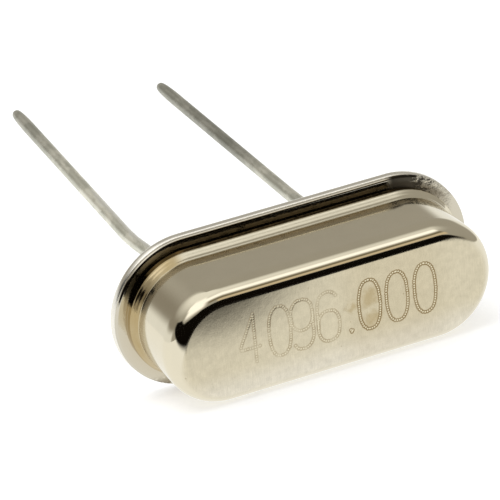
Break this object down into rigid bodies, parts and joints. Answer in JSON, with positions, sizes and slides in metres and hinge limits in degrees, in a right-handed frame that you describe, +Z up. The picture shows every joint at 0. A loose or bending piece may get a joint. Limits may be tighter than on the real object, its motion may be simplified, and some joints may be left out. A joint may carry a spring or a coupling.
{
  "type": "quartz crystal oscillator",
  "caption": "Low-profile two-lead quartz crystal in a welded oblong metal can with a flange, a number engraved on its flat top, lying on its side with long wire leads.",
  "frame": {"origin": "middle of the seating plane, the outer face of the base that the leads leave from", "axes": "+X along the can's long axis, to the right as the top face is seen; +Y towards the leads' cut ends; +Z up from the table that the crystal lies on. The crystal leans about X by 11.3 degrees, so that its flange and the can's top edge both touch the table"},
  "size_m": [0.011, 0.017, 0.0056],
  "materials": {
    "can_metal": "satin",
    "base_metal": "satin",
    "seal_glass": "gloss",
    "lead_metal": "satin",
    "clip_metal": "satin",
    "quartz": "gloss",
    "electrode_film": "satin",
    "conductive_adhesive": "matte"
  },
  "bodies": {
    "root": {"can": "can_metal", "base": "base_metal", "left_glass_seal": "seal_glass", "right_glass_seal": "seal_glass", "left_lead": "lead_metal", "right_lead": "lead_metal", "left_spring_clip": "clip_metal", "right_spring_clip": "clip_metal", "quartz_blank": "quartz", "upper_electrode": "electrode_film", "lower_electrode": "electrode_film", "left_adhesive": "conductive_adhesive", "right_adhesive": "conductive_adhesive"}
  },
  "joints": []
}
